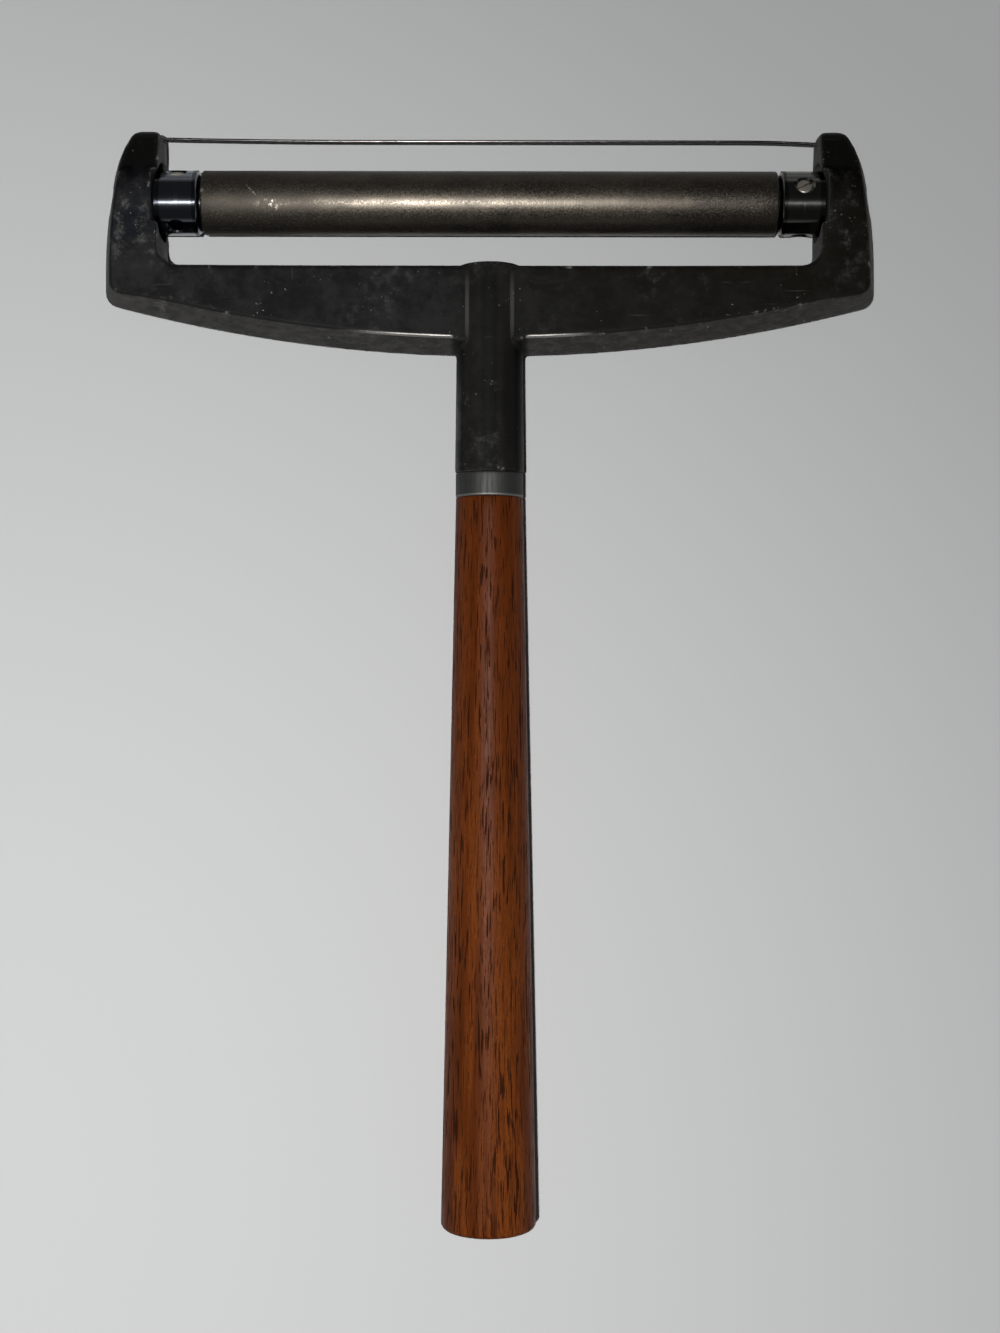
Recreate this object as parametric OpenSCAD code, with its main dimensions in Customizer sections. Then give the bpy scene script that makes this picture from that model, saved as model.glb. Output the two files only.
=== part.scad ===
// Roller cheese slicer: a cast bow carries a free roller and a taut cutting wire, on a turned wooden handle.
// Sizes are in millimetres. The slicer lies flat:
// X runs along the roller, Y from the handle to the wire, Z is up.

/* [Roller] */
// Outside diameter of the roller tube
roller_d = 12.6; // [11:0.1:15]
// Length of the roller tube
roller_len = 114.2; // [90:0.2:140]
// Wall of the roller tube
roller_wall = 1.6; // [1.2:0.1:2.2]
// Rounding of the tube's outer end edges
roller_edge_r = 0.9; // [0.3:0.1:1.1]
// Length of each bush pressed into the tube
bush_len = 9; // [5:0.5:20]
// How far each bush stands out of the tube as a thrust face
bush_proud = 0.1; // [0.1:0.05:1]

/* [Axle] */
// Diameter of the axle
axle_d = 5; // [4:0.1:6]
// How far the axle's ends lie inside the arms' outer faces
axle_recess = 1; // [0.8:0.1:2]
// Chamfer on the axle's ends
axle_chamfer = 0.4; // [0.2:0.1:0.8]

/* [Tension nuts] */
// Outside diameter of the round nuts
nut_d = 12.7; // [11.5:0.1:14]
// Length of a nut along the axle
nut_len = 9.2; // [7:0.1:10]
// Rounding of the nut's edge on the roller side
nut_inner_r = 1.3; // [0.3:0.1:1.6]
// Rounding of the nut's edge on the arm side
nut_outer_r = 1.5; // [0.3:0.1:1.6]
// Number of radial holes round a nut
nut_holes = 3; // [2:1:4]
// Diameter of the countersink round each radial hole
nut_sink_d = 4.2; // [3.6:0.1:5]
// Turn of the left nut, from straight up towards the wire
left_nut_angle = 60; // [0:1:90]
// Turn of the right nut, from straight up towards the wire
right_nut_angle = 23; // [0:1:90]

/* [Lock screws] */
// Diameter of the lock screws
screw_d = 3; // [2:0.1:3.4]
// How far a lock screw's head lies below the nut's surface
screw_recess = 0.5; // [0.2:0.1:1]
// Width of the screwdriver slot
slot_w = 0.5; // [0.3:0.1:0.8]
// Depth of the screwdriver slot
slot_depth = 0.8; // [0.4:0.1:1.2]
// Turn of the screwdriver slots about the screw
slot_angle = 30; // [0:1:90]

/* [Cutting wire] */
// Diameter of the wire
wire_d = 0.6; // [0.4:0.05:0.8]
// Height of the wire over the axle's centre
wire_rise = 12.4; // [11.5:0.1:12.6]
// Diameter of the crimped nipples
nipple_d = 1.8; // [1.4:0.1:2]
// Length of the crimped nipples
nipple_len = 2; // [1.5:0.1:2.4]
// Metal between an arm's inner face and its nipple pocket
nipple_wall = 2.6; // [2:0.1:3.2]

/* [Bow frame] */
// Width of an arm at its widest, seen from above
arm_w = 11.8; // [9.5:0.1:14]
// Thickness of the arms at the axle
arm_t = 12.2; // [9.5:0.1:14]
// Depth of the seat that a nut has in its arm
seat_depth = 1.9; // [0.4:0.1:2.2]
// Height of the arm tips over the axle's centre
tip_rise = 13.5; // [13.4:0.1:15]
// Thickness of an arm at its tip
tip_t = 8; // [5:0.1:10]
// Rounding of the arm tips
tip_r = 1.2; // [0.6:0.1:1.5]
// Height over the axle's centre at which the arms start to thin towards their tips
taper_rise = 5; // [3:0.5:6]
// How far below the axle's centre the arms are widest
belly_drop = 14; // [12:0.5:15]
// Radius of the arms' outer sides
side_r = 102; // [90:1:200]
// Radius of the arms' outer shoulders, next to their tips
shoulder_r = 18; // [16:0.5:26]
// Height over the axle's centre at which the shoulders start
shoulder_rise = 5.5; // [4:0.5:7]
// How far the arms' outer sides lean in from the mid plane to the face
side_lean = 1.8; // [0.6:0.1:2.4]
// Distance from the axle's centre down to the crossbar
bar_drop = 13; // [11:0.1:15]
// Depth of the crossbar at its middle
bar_depth = 17.5; // [14:0.1:22]
// Thickness of the crossbar
bar_t = 10.2; // [8:0.1:12]
// Length over which an arm thins down to the inner corner
arm_blend = 8; // [4:0.5:9]
// Length over which the crossbar goes on thinning from the inner corner
bar_blend = 30; // [10:1:40]
// Radius of the bow's lower edge
bow_r = 295; // [260:5:400]
// How far the bow's lower side leans in from the mid plane to the face
bow_lean = 2.9; // [1:0.1:3.5]
// Radius of the inner corners between arms and crossbar
inner_corner_r = 3.4; // [2:0.1:6]
// Radius of the outer corners between arms and bow
outer_corner_r = 3; // [2:0.1:5]
// Rounding along the edges of the casting
edge_r = 0.5; // [0.4:0.1:1.2]
// Draft of the inner faces, from the mid plane to the face
inner_draft = 0.35; // [0.05:0.05:0.5]

/* [Neck] */
// Diameter of the neck and its rib at the crossbar
neck_d = 13.3; // [12.4:0.1:16]
// Diameter of the neck at the ferrule
neck_end_d = 13.8; // [13:0.1:17]
// Length of the neck from the bow's lowest edge to the ferrule
neck_len = 23.5; // [15:0.5:40]
// How far the rib stands past the crossbar's upper edge
rib_rise = 0.3; // [0.1:0.1:1]
// Rounding of the rib's free end
rib_r = 0.8; // [0.3:0.1:1.5]
// Fillet between the rib and the crossbar's faces
rib_fillet_r = 0.6; // [0.4:0.1:3]
// Fillet between the neck and the bow's lower edge
neck_fillet_r = 0.5; // [0.4:0.1:2]

/* [Handle] */
// Diameter of the ferrule
ferrule_d = 13.5; // [12.5:0.1:16]
// Length of the ferrule
ferrule_len = 4.9; // [3:0.1:10]
// Wall of the ferrule
ferrule_wall = 1; // [0.6:0.1:1.5]
// Rounding of the ferrule's outer edges
ferrule_r = 0.2; // [0.1:0.05:0.4]
// Length of the wooden handle below the ferrule
handle_len = 145.7; // [100:0.1:180]
// Diameter of the wood at the ferrule
handle_top_d = 13.4; // [13:0.1:16]
// Diameter of the wood at its end
handle_end_d = 19.1; // [16:0.1:24]
// Rounding of the wood's edge at the ferrule
handle_top_r = 0.3; // [0.1:0.1:0.6]
// Rounding of the wood's edge at its end
handle_end_r = 1.2; // [0.5:0.1:3]

/* [Tang] */
// Diameter of the tang
tang_d = 6; // [4:0.1:7]
// Depth of the tang in the neck
tang_in_neck = 24; // [15:0.5:30]
// Depth of the tang in the wood
tang_in_wood = 45; // [25:1:80]
// Chamfer on the tang's ends
tang_chamfer = 0.6; // [0.3:0.1:1]

/* [Clearances] */
// Radial clearance where a piece turns on a shaft or in a thread
run_fit = 0.05; // [0.02:0.01:0.1]
// Radial clearance of a pressed, cast or glued fit
press_fit = 0.02; // [0.01:0.005:0.04]
// Room between the roller's bushes and the nuts
roller_gap = 0.3; // [0.1:0.05:0.6]
// Room between a nut and the seat that it bears on
nut_gap = 0.2; // [0.1:0.05:0.5]
// Room round a nut in its seat
seat_room = 1.3; // [0.5:0.1:2]
// Room round the wire in its slits, and round its nipples
wire_fit = 0.1; // [0.05:0.05:0.2]

/* [Hidden] */
$fn = 64;

// Colours as the photograph shows them
cast_grey = [0.23, 0.23, 0.24];
roller_grey = [0.50, 0.47, 0.43];
chrome = [0.78, 0.80, 0.84];
steel = [0.60, 0.60, 0.60];
nylon = [0.24, 0.23, 0.22];
aluminium = [0.62, 0.62, 0.61];
teak = [0.45, 0.22, 0.12];

// Places along X, from the middle of the roller outwards
bush_end = roller_len / 2 + bush_proud;
nut_in = bush_end + roller_gap;
nut_out = nut_in + nut_len;
arm_in = nut_out + nut_gap - seat_depth;
half_w = arm_in + arm_w;
pocket_x = arm_in + nipple_wall;

// Places along Y, with the axle's centre at zero
bar_top = -bar_drop;
bow_low = bar_top - bar_depth;
neck_end = bow_low - neck_len;
wood_top = neck_end - ferrule_len;
wood_end = wood_top - handle_len;
belly = -belly_drop;

// The part's origin lies under the middle of its length, on the surface that carries the handle's end
mid_y = (tip_rise + wood_end) / 2;
rest_z = max(handle_end_d, nut_d, arm_t, neck_end_d) / 2;

spigot_d = ferrule_d - 2 * ferrule_wall;
roller_bore = roller_d - 2 * roller_wall;
running_bore = axle_d + 2 * run_fit;
tapped_d = screw_d + 2 * run_fit;
screw_head_r = nut_d / 2 - screw_recess;
screw_foot_r = axle_d / 2 + 2 * run_fit;
screw_edge = 0.2;
nut_mid = (nut_in + nut_out) / 2;
cut_past = 1;

// Outer side of an arm: a flat arc from the belly, then a tighter shoulder arc tangent to it
shoulder_turn = asin((shoulder_rise - belly) / side_r);
side_centre = [half_w - side_r, belly];
shoulder_centre = side_centre + (side_r - shoulder_r) * [cos(shoulder_turn), sin(shoulder_turn)];
function side_x(y) =
    y <= belly ? half_w
    : y <= shoulder_rise ? side_centre[0] + sqrt(pow(side_r, 2) - pow(y - belly, 2))
    : shoulder_centre[0] + sqrt(pow(shoulder_r, 2) - pow(y - shoulder_centre[1], 2));

// Lower edge of the bow
function bow_y(x) = bow_low + bow_r - sqrt(pow(bow_r, 2) - pow(x, 2));

// Arc that rounds the corner at v between the edges towards a and b, from a's side to b's, in n steps
function corner_arc(v, a, b, r, n) =
    let (ua = (a - v) / norm(a - v))
    let (ub = (b - v) / norm(b - v))
    let (half = acos(ua * ub) / 2)
    let (c = v + (ua + ub) / norm(ua + ub) * r / sin(half))
    let (from = v + ua * r / tan(half) - c)
    let (sweep = (180 - 2 * half) * sign(ua[0] * ub[1] - ua[1] * ub[0]))
    [for (i = [0 : n]) let (t = -sweep * i / n) c + [
        from[0] * cos(t) - from[1] * sin(t),
        from[0] * sin(t) + from[1] * cos(t)
    ]];

// Sections of the casting lie along the bow, from an arm's tip to the middle of the crossbar.
// Each is [inner point, outer point, half thickness, lean, inset at the rounded tip].
edge_steps = 4;
tip_steps = 3;
arm_steps = 10;
turn_steps = 4;
fillet_steps = 2;
bow_steps = 3;
bar_steps = 12;
function mix(a, b, t) = a + (b - a) * t;
function ease(t) = t * t * (3 - 2 * t);
function arm_half_t(y) =
    y <= taper_rise ? half_t(arm_foot + arm_blend - y)
    : mix(arm_t, tip_t, (y - taper_rise) / (tip_rise - taper_rise)) / 2;
function arm_section(y, inset) = let (h = arm_half_t(y))
    [[arm_in, y], [side_x(y), y], h, side_lean * 2 * h / arm_t, inset];

arm_foot = bar_top + inner_corner_r;
bar_foot = arm_in - inner_corner_r;

// Half thickness of the casting, at a distance along it from where the arm starts to thin
turn_len = PI / 2 * (inner_corner_r + arm_w / 2);
function half_t(s) =
    mix(arm_t, bar_t, ease(min(1, max(0, s / (arm_blend + turn_len + bar_blend))))) / 2;

bow_corner = [half_w, bow_y(half_w)];
bow_turn = asin(half_w / bow_r);
corner_points = corner_arc(
    bow_corner, bow_corner + [0, 1], bow_corner - [cos(bow_turn), sin(bow_turn)], outer_corner_r, turn_steps
);
turn_top = corner_points[0][1];
turn_side = corner_points[turn_steps][0];
outer_turn = concat(
    [for (i = [0 : bow_steps - 1]) let (y = mix(arm_foot, turn_top, i / bow_steps)) [side_x(y), y]],
    corner_points,
    [for (i = [1 : bow_steps]) let (x = mix(turn_side, bar_foot, i / bow_steps)) [x, bow_y(x)]]
);
last_turn = len(outer_turn) - 1;

function turn_section(i) = let (t = i / last_turn) let (k = ease(t)) [
    [bar_foot + inner_corner_r * cos(90 * t), arm_foot - inner_corner_r * sin(90 * t)],
    outer_turn[i], half_t(arm_blend + turn_len * t), mix(side_lean, bow_lean, k), 0
];
function bar_section(x, drop = 0, rise = 0) =
    [[x, bar_top], [x, bow_y(x) - drop], half_t(arm_blend + turn_len + bar_foot - x) + rise, bow_lean, 0];

// Next to the neck the bow's edge curves down to it, and the faces then curve up to the rib.
// Each fillet stops short of tangent and runs on straight into the round, so that the two cross cleanly.
neck_r = neck_d / 2;
neck_foot = neck_r + neck_fillet_r;
neck_turn = 60;
neck_side = neck_foot - neck_fillet_r * sin(neck_turn);
neck_inside = neck_r - neck_fillet_r / 3;
neck_drop = neck_fillet_r * (1 - cos(neck_turn)) + tan(neck_turn) * (neck_side - neck_inside);
rib_foot = sqrt(pow(neck_r + rib_fillet_r, 2) - pow(bar_t / 2 + rib_fillet_r, 2));
rib_turn = asin(rib_foot / (neck_r + rib_fillet_r)) / 2;
rib_side = rib_foot - rib_fillet_r * sin(rib_turn);
rib_inside = 0.8 * rib_side;
rib_in_rise = rib_fillet_r * (1 - cos(rib_turn)) + tan(rib_turn) * (rib_side - rib_inside);

half_sections = concat(
    [for (i = [0 : tip_steps - 1]) let (a = 90 * (1 - i / tip_steps))
        arm_section(tip_rise - tip_r * (1 - sin(a)), tip_r * (1 - cos(a)))],
    [for (i = [0 : arm_steps - 1]) arm_section(mix(tip_rise - tip_r, arm_foot, i / arm_steps), 0)],
    [for (i = [0 : last_turn]) turn_section(i)],
    [for (i = [1 : bar_steps]) bar_section(mix(bar_foot, neck_foot, i / bar_steps))],
    [for (i = [1 : turn_steps]) let (a = neck_turn * i / turn_steps)
        bar_section(neck_foot - neck_fillet_r * sin(a), neck_fillet_r * (1 - cos(a)))],
    [bar_section(neck_inside, neck_drop)],
    [for (i = [0 : fillet_steps]) let (a = rib_turn * i / fillet_steps)
        bar_section(rib_foot - rib_fillet_r * sin(a), neck_drop, rib_fillet_r * (1 - cos(a)))],
    [bar_section(rib_inside, neck_drop, rib_in_rise), bar_section(0, neck_drop, rib_in_rise)]
);

// Closed outline of one section: inner parting edge, face, outer parting edge and the same again below
function section_ring(s) =
    let (inset = s[4])
    let (h = s[2] - inset)
    let (along = (s[1] - s[0]) / norm(s[1] - s[0]))
    let (w = norm(s[1] - s[0]) - 2 * inset)
    let (r = min(edge_r, h / 2))
    let (inner = [0, 0])
    let (inner_edge = [inner_draft, h])
    let (outer_edge = [w - s[3], h])
    let (outer = [w, 0])
    let (upper = concat(
        corner_arc(inner_edge, inner, outer_edge, r, edge_steps),
        corner_arc(outer_edge, inner_edge, outer, r, edge_steps)
    ))
    let (lower = [for (i = [len(upper) - 1 : -1 : 0]) [upper[i][0], -upper[i][1]]])
    [for (p = concat([inner], upper, [outer], lower))
        let (q = s[0] + along * (p[0] + inset)) [q[0], q[1], p[1]]];

half_rings = [for (s = half_sections) section_ring(s)];
last_ring = len(half_rings) - 1;
bow_rings = concat(
    half_rings,
    [for (i = [last_ring - 1 : -1 : 0]) [for (p = half_rings[i]) [-p[0], p[1], p[2]]]]
);

// Solid through a row of closed rings that have the same number of points
module skin(rings) {
    n = len(rings[0]);
    m = len(rings);
    polyhedron(
        points = [for (ring = rings) each ring],
        faces = concat(
            [[for (j = [n - 1 : -1 : 0]) j]],
            [for (i = [0 : m - 2], j = [0 : n - 1]) let (k = (j + 1) % n)
                each [
                    [i * n + j, i * n + k, (i + 1) * n + k],
                    [i * n + j, (i + 1) * n + k, (i + 1) * n + j]
                ]],
            [[for (j = [0 : n - 1]) (m - 1) * n + j]]
        )
    );
}

module placed() {
    translate([0, -mid_y, rest_z]) children();
}

// Turns a shape made along +Z so that it lies along X, or down the handle from height y
module along_x() {
    rotate([0, 90, 0]) children();
}
module down_handle(y) {
    translate([0, y, 0]) rotate([90, 0, 0]) children();
}

// Cylinder from z = 0 with chamfered ends
module chamfered_rod(d, length, chamfer_low, chamfer_high) {
    r = d / 2;
    rotate_extrude() polygon([
        [0, 0], [r - chamfer_low, 0], [r, chamfer_low],
        [r, length - chamfer_high], [r - chamfer_high, length], [0, length]
    ]);
}

// What a rounding of radius r takes off a profile's outer corner at the origin.
// The solid lies to the left of the corner and above it.
module corner_cut(r) {
    difference() {
        translate([-r, -cut_past]) square(r + cut_past);
        translate([-r, r]) circle(r);
    }
}

// Profile of a turned ring, with its outer edges rounded
module ring_profile(bore, d, length, r_low, r_high) {
    difference() {
        translate([bore / 2, 0]) square([(d - bore) / 2, length]);
        translate([d / 2, 0]) corner_cut(r_low);
        translate([d / 2, length]) mirror([0, 1]) corner_cut(r_high);
    }
}

// One arm's wire slit and nipple pocket, on the right
module wire_seat() {
    slit = wire_d + 2 * wire_fit;
    floor_y = wire_rise - slit / 2;
    translate([arm_in - cut_past, floor_y, -slit / 2])
        cube([arm_w + 2 * cut_past, tip_rise - floor_y + cut_past, slit]);
    translate([pocket_x, wire_rise, 0]) along_x() cylinder(d = nipple_d + 2 * wire_fit, h = arm_w);
}

// One arm's seat for its nut, on the right
module nut_seat() {
    translate([arm_in - cut_past, 0, 0]) along_x()
        cylinder(d = nut_d + 2 * seat_room, h = cut_past + seat_depth);
}

module neck_blank() {
    bar_bottom = bar_depth + rib_rise;
    full = bar_bottom + neck_len;
    down_handle(bar_top + rib_rise) rotate_extrude() difference() {
        polygon([[0, 0], [neck_r, 0], [neck_r, bar_bottom], [neck_end_d / 2, full], [0, full]]);
        translate([neck_r, 0]) corner_cut(rib_r);
    }
}

module bow_frame() color(cast_grey) placed() difference() {
    union() {
        skin(bow_rings);
        neck_blank();
    }
    translate([-half_w - cut_past, 0, 0]) along_x()
        cylinder(d = axle_d + 2 * press_fit, h = 2 * (half_w + cut_past));
    down_handle(neck_end + tang_in_neck)
        cylinder(d = tang_d + 2 * press_fit, h = tang_in_neck + cut_past);
    for (side = [0, 1]) mirror([side, 0, 0]) {
        wire_seat();
        nut_seat();
    }
}

module axle() color(steel) placed() {
    half_len = side_x(0) - axle_recess;
    translate([-half_len, 0, 0]) along_x() chamfered_rod(axle_d, 2 * half_len, axle_chamfer, axle_chamfer);
}

module roller_tube() color(roller_grey) placed() translate([-roller_len / 2, 0, 0]) along_x()
    rotate_extrude() ring_profile(roller_bore, roller_d, roller_len, roller_edge_r, roller_edge_r);

module roller_bush(side) color(nylon) placed() mirror([side < 0 ? 1 : 0, 0, 0])
    translate([bush_end - bush_len, 0, 0]) along_x() difference() {
        cylinder(d = roller_bore - 2 * press_fit, h = bush_len);
        translate([0, 0, -cut_past]) cylinder(d = running_bore, h = bush_len + 2 * cut_past);
    }

// Turns a shape made along +Z to a nut's radial hole, with angles from straight up towards the wire
module radial(side, angle) {
    translate([side * nut_mid, 0, 0]) rotate([-angle, 0, 0]) children();
}

module tension_nut(side, angle) color(chrome) placed() difference() {
    mirror([side < 0 ? 1 : 0, 0, 0]) translate([nut_in, 0, 0]) along_x()
        rotate_extrude() ring_profile(running_bore, nut_d, nut_len, nut_inner_r, nut_outer_r);
    sink = (nut_sink_d - tapped_d) / 2;
    for (i = [0 : nut_holes - 1]) radial(side, angle + i * 360 / nut_holes) {
        cylinder(d = tapped_d, h = nut_d);
        translate([0, 0, nut_d / 2 - sink])
            cylinder(d1 = tapped_d, d2 = tapped_d + 2 * (sink + cut_past), h = sink + cut_past);
    }
}

module lock_screw(side, angle) color(steel) placed() radial(side, angle) difference() {
    translate([0, 0, screw_foot_r])
        chamfered_rod(screw_d, screw_head_r - screw_foot_r, screw_edge, screw_edge);
    rotate([0, 0, slot_angle]) translate([-screw_d, -slot_w / 2, screw_head_r - slot_depth])
        cube([2 * screw_d, slot_w, slot_depth + cut_past]);
}

module cutting_wire() color(steel) placed() {
    half_len = pocket_x + wire_fit + nipple_len;
    translate([-half_len, wire_rise, 0]) along_x() cylinder(d = wire_d, h = 2 * half_len);
}

module wire_nipple(side) color(steel) placed() mirror([side < 0 ? 1 : 0, 0, 0])
    translate([pocket_x + wire_fit, wire_rise, 0]) along_x() difference() {
        cylinder(d = nipple_d, h = nipple_len);
        translate([0, 0, -cut_past]) cylinder(d = wire_d + 2 * press_fit, h = nipple_len + 2 * cut_past);
    }

module ferrule() color(aluminium) placed() down_handle(neck_end)
    rotate_extrude() ring_profile(spigot_d + 2 * press_fit, ferrule_d, ferrule_len, ferrule_r, ferrule_r);

module handle() color(teak) placed() down_handle(neck_end) {
    end = ferrule_len + handle_len;
    top_corner = [handle_top_d / 2, ferrule_len];
    end_corner = [handle_end_d / 2, end];
    difference() {
        rotate_extrude() polygon(concat(
            [[0, 0], [spigot_d / 2, 0], [spigot_d / 2, ferrule_len]],
            corner_arc(top_corner, [0, ferrule_len], end_corner, handle_top_r, edge_steps),
            corner_arc(end_corner, top_corner, [0, end], handle_end_r, 2 * edge_steps),
            [[0, end]]
        ));
        translate([0, 0, -cut_past])
            cylinder(d = tang_d + 2 * press_fit, h = ferrule_len + tang_in_wood + cut_past);
    }
}

module handle_tang() color(steel) placed() down_handle(neck_end + tang_in_neck)
    chamfered_rod(tang_d, tang_in_neck + ferrule_len + tang_in_wood, tang_chamfer, tang_chamfer);

bow_frame();
axle();
roller_tube();
roller_bush(-1);  // left_roller_bush
roller_bush(1);  // right_roller_bush
tension_nut(-1, left_nut_angle);  // left_tension_nut
tension_nut(1, right_nut_angle);  // right_tension_nut
lock_screw(-1, left_nut_angle);  // left_lock_screw
lock_screw(1, right_nut_angle);  // right_lock_screw
cutting_wire();
wire_nipple(-1);  // left_wire_nipple
wire_nipple(1);  // right_wire_nipple
ferrule();
handle();
handle_tang();
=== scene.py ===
"""Roller cheese slicer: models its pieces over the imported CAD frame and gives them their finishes."""

import math

import bmesh
import bpy
from bpy.props import FloatProperty, FloatVectorProperty, IntProperty, PointerProperty
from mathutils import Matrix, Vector


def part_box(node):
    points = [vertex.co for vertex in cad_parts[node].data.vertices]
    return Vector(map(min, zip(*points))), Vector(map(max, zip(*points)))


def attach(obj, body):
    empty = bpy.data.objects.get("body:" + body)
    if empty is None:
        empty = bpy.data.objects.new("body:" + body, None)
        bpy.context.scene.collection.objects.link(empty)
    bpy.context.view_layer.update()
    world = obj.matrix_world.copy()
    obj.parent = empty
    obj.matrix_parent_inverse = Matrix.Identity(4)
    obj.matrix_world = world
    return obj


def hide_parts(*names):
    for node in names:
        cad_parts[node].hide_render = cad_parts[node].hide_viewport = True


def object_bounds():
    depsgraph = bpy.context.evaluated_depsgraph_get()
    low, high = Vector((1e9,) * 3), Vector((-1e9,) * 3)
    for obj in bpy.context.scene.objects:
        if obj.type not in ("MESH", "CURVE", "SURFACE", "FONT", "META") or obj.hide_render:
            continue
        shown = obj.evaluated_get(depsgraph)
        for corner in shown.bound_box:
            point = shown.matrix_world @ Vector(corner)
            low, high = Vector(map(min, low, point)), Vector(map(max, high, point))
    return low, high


bl_info = {
    "name": "Roller Cheese Slicer",
    "version": (1, 0, 0),
    "blender": (4, 5, 0),
    "location": "View3D > Sidebar > Slicer",
    "description": "Models a roller cheese slicer with its casting, roller, nuts, wire and wooden handle",
    "category": "Mesh",
}

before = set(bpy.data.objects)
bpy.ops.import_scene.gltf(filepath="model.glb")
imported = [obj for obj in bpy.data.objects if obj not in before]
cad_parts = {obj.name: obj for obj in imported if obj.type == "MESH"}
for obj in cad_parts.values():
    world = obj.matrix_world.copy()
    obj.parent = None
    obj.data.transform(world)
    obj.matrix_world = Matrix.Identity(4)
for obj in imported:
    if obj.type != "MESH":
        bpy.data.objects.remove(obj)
CAD_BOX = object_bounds()

# Lines that the turned pieces lie on, each as a point and a direction
AXLE_LOW, AXLE_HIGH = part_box("axle")
AXLE_MID = (AXLE_LOW + AXLE_HIGH) / 2
AXLE_LINE = (AXLE_MID, Vector((1, 0, 0)))
STEM_LINE = (Vector((0, 0, AXLE_MID.z)), Vector((0, 1, 0)))
ALONG_X = (Vector((0, 0, 0)), Vector((1, 0, 0)))
ALONG_Z = (Vector((0, 0, 0)), Vector((0, 0, 1)))
TURN_ALONG = {0: (0, math.pi / 2, 0), 1: (-math.pi / 2, 0, 0), 2: (0, 0, 0)}

# Sides of a round piece
SIDES = 128
# Distance at which points merge, distance within which they count as one place, and room of a close fit
MERGE = 2e-6
NEAR = 2e-5
FIT = 0.00005


def middle_of(node):
    """Middle of a CAD node's box."""
    return sum(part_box(node), Vector()) / 2


def radius_of(node, axis):
    """Outer radius of a turned CAD node, measured along one axis of the frame."""
    low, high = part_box(node)
    return (high[axis] - low[axis]) / 2


def length_setting(name, description, default):
    return FloatProperty(
        name=name,
        description=description,
        default=default,
        min=0,
        precision=5,
        subtype="DISTANCE",
        unit="LENGTH",
    )


def place_setting(name, description, default):
    return FloatVectorProperty(
        name=name,
        description=description,
        default=default,
        size=3,
        precision=5,
        subtype="TRANSLATION",
        unit="LENGTH",
    )


def share_setting(name, description, default):
    return FloatProperty(name=name, description=description, default=default, min=0, max=1, subtype="FACTOR")


def angle_setting(name, description, degrees):
    return FloatProperty(
        name=name, description=description, default=math.radians(degrees), subtype="ANGLE", unit="ROTATION"
    )


def colour_setting(name, description, default):
    return FloatVectorProperty(
        name=name, description=description, default=default, size=3, min=0, max=1, subtype="COLOR"
    )


class CastingSettings(bpy.types.PropertyGroup):
    """Sizes and colours of the cast bow frame"""

    detail: length_setting("Detail", "Size of the smallest detail that the casting keeps", 0.00037)
    softening: IntProperty(
        name="Softening",
        description="Passes that soften the casting's edges",
        default=2,
        min=0,
        max=20,
        subtype="UNSIGNED",
    )
    slit: length_setting("Slit", "Width of the slit that takes the wire", 0.0008)
    pocket: length_setting("Pocket", "Radius of the pocket that takes the wire's nipple", 0.001)
    coat: colour_setting("Coat", "Colour of the darkened metal", (0.0052, 0.0052, 0.0055))
    brown: colour_setting("Brown coat", "Colour of the coat towards the right", (0.0046, 0.0037, 0.0016))
    blue: colour_setting("Blue coat", "Colour of the coat on the left arm", (0.0060, 0.0070, 0.0098))
    cloud: colour_setting("Clouds", "Colour of the cloudy parts of the coat", (0.044, 0.043, 0.042))
    scuff: colour_setting("Scuffs", "Colour of the scuffed patches", (0.115, 0.112, 0.108))
    # Also the colour of the painted reflection on the upright walls and the neck's sides
    wall: colour_setting("Walls", "Colour of the upright walls", (0.115, 0.112, 0.107))
    bare: colour_setting("Bare metal", "Colour of the metal at worn edges", (0.50, 0.48, 0.45))
    # Painted shade: the black that the neck's right side, the face rims and the arm tips are darkened to
    shade_black: colour_setting("Black", "Colour of the coat's darkest places", (0.0006, 0.0006, 0.0006))
    roughness: share_setting("Roughness", "Roughness of the unworn coat", 0.52)
    edge_low: share_setting("Edge wear start", "Exposure at which edges start to be worn", 0.024)
    edge_high: share_setting("Edge wear end", "Exposure at which edges are worn bright", 0.046)
    crease_high: share_setting("Crease start", "Exposure at which creases start to be pale", 0.0085)
    crease_low: share_setting("Crease end", "Exposure at which creases are pale", 0.0045)


class RollerSettings(bpy.types.PropertyGroup):
    """Sizes and colours of the roller and what it turns on"""

    wall: length_setting("Wall", "Wall of the tube", 0.0016)
    edge: length_setting("Edge", "Rounding of the tube's ends", 0.0004)
    metal: colour_setting("Metal", "Colour of the tube", (0.105, 0.089, 0.069))
    tarnish: colour_setting("Tarnish", "Colour of its tarnished patches", (0.058, 0.050, 0.040))
    roughness: share_setting("Roughness", "Roughness of the tube", 0.315)
    # Colour of the stains and dull places, and of the painted shade on the side towards the wire
    stain_and_shade: colour_setting("Stains", "Colour of the stains and the dull places", (0.022, 0.019, 0.015))
    speckle: colour_setting("Speckle", "Colour of the fine light grain", (0.24, 0.22, 0.19))
    nick: colour_setting("Nicks", "Colour of the nicks and the scrape", (0.40, 0.37, 0.33))
    bush: colour_setting("Bush", "Colour of the bushes", (0.030, 0.027, 0.024))


class AxleSettings(bpy.types.PropertyGroup):
    """Sizes and colour of the axle"""

    chamfer: length_setting("Chamfer", "Chamfer on the axle's ends", 0.0004)
    centre: length_setting("Centre mark", "Radius of the turning centres in the axle's ends", 0.0008)
    steel: colour_setting("Steel", "Colour of the axle", (0.45, 0.45, 0.46))
    dull: colour_setting("Dull steel", "Colour of its rings and dull spots", (0.16, 0.15, 0.14))


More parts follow.
